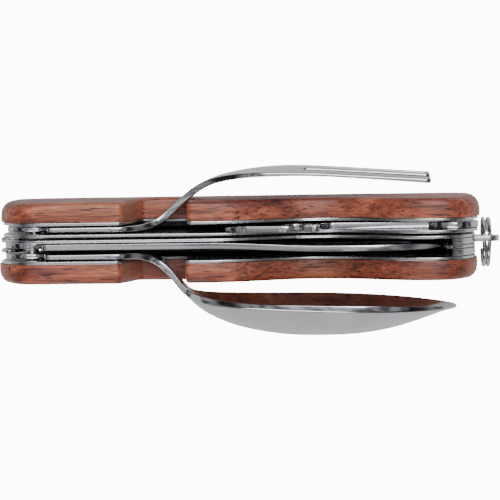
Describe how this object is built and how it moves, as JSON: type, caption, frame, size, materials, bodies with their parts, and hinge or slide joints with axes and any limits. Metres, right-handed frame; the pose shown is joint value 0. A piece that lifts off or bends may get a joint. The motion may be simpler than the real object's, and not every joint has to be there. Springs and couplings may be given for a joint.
{
  "type": "folding cutlery pocket tool",
  "caption": "Closed folding camping tool with wooden scales and steel liners, holding a fork, spoon, knife and cap lifter, with a key ring.",
  "frame": {"origin": "centre of the bounding box in plan, on the surface that the spine rests on", "axes": "+X along the handle towards the key ring, +Y through the stack towards the fork, +Z from the spine to the open slot side"},
  "size_m": [0.1152, 0.039, 0.033],
  "materials": {
    "wood": "oiled open-grained red-brown hardwood",
    "polished_steel": "polished stainless steel",
    "liner_steel": "satin stainless steel with bright edges",
    "pin_steel": "turned stainless steel"
  },
  "bodies": {
    "knife_half": {"knife_inner_liner": "liner_steel", "key_ring_lug": "liner_steel", "knife_backspring": "liner_steel", "middle_liner": "liner_steel", "spoon_backspring": "liner_steel", "end_spacer": "liner_steel", "spoon_outer_liner": "liner_steel", "spoon_side_scale": "wood", "knife_spoon_pivot_pin": "pin_steel", "rear_rivet": "pin_steel", "middle_spring_rivet": "pin_steel", "rear_spring_rivet": "pin_steel", "locking_stud_left": "pin_steel", "locking_stud_right": "pin_steel", "detent_leaf": "liner_steel"},
    "fork_half": {"fork_side_scale": "wood", "fork_outer_liner": "liner_steel", "fork_backspring": "liner_steel", "fork_inner_liner": "liner_steel", "fork_pivot_pin": "pin_steel", "opener_pivot_pin": "pin_steel", "fork_spring_rivet": "pin_steel"},
    "fork": {"fork": "polished_steel"},
    "bottle_opener": {"bottle_opener": "polished_steel"},
    "knife": {"knife": "polished_steel"},
    "spoon": {"spoon": "polished_steel"},
    "split_ring": {"split_ring": "polished_steel"}
  },
  "joints": [
    {"name": "halves_slide", "type": "slide", "parent": "knife_half", "child": "fork_half", "axis": [-1, 0, 0], "range_m": [0, 0.007]},
    {"name": "fork_hinge", "type": "hinge", "parent": "fork_half", "child": "fork", "pos_m": [-0.0496, 0.00588, 0.0175], "axis": [0, -1, 0], "range_deg": [0, 180]},
    {"name": "opener_hinge", "type": "hinge", "parent": "fork_half", "child": "bottle_opener", "pos_m": [0.0466, 0.00588, 0.0175], "axis": [0, 1, 0], "range_deg": [0, 180]},
    {"name": "knife_hinge", "type": "hinge", "parent": "knife_half", "child": "knife", "pos_m": [-0.0502, 0.00213, 0.0175], "axis": [0, -1, 0], "range_deg": [0, 180]},
    {"name": "spoon_hinge", "type": "hinge", "parent": "knife_half", "child": "spoon", "pos_m": [-0.0502, -0.00029, 0.0175], "axis": [0, -1, 0], "range_deg": [0, 180]},
    {"name": "ring_swing", "type": "hinge", "parent": "knife_half", "child": "split_ring", "pos_m": [0.0548, 0.00213, 0.0145], "axis": [0, 1, 0], "range_deg": [-170, 0]}
  ]
}
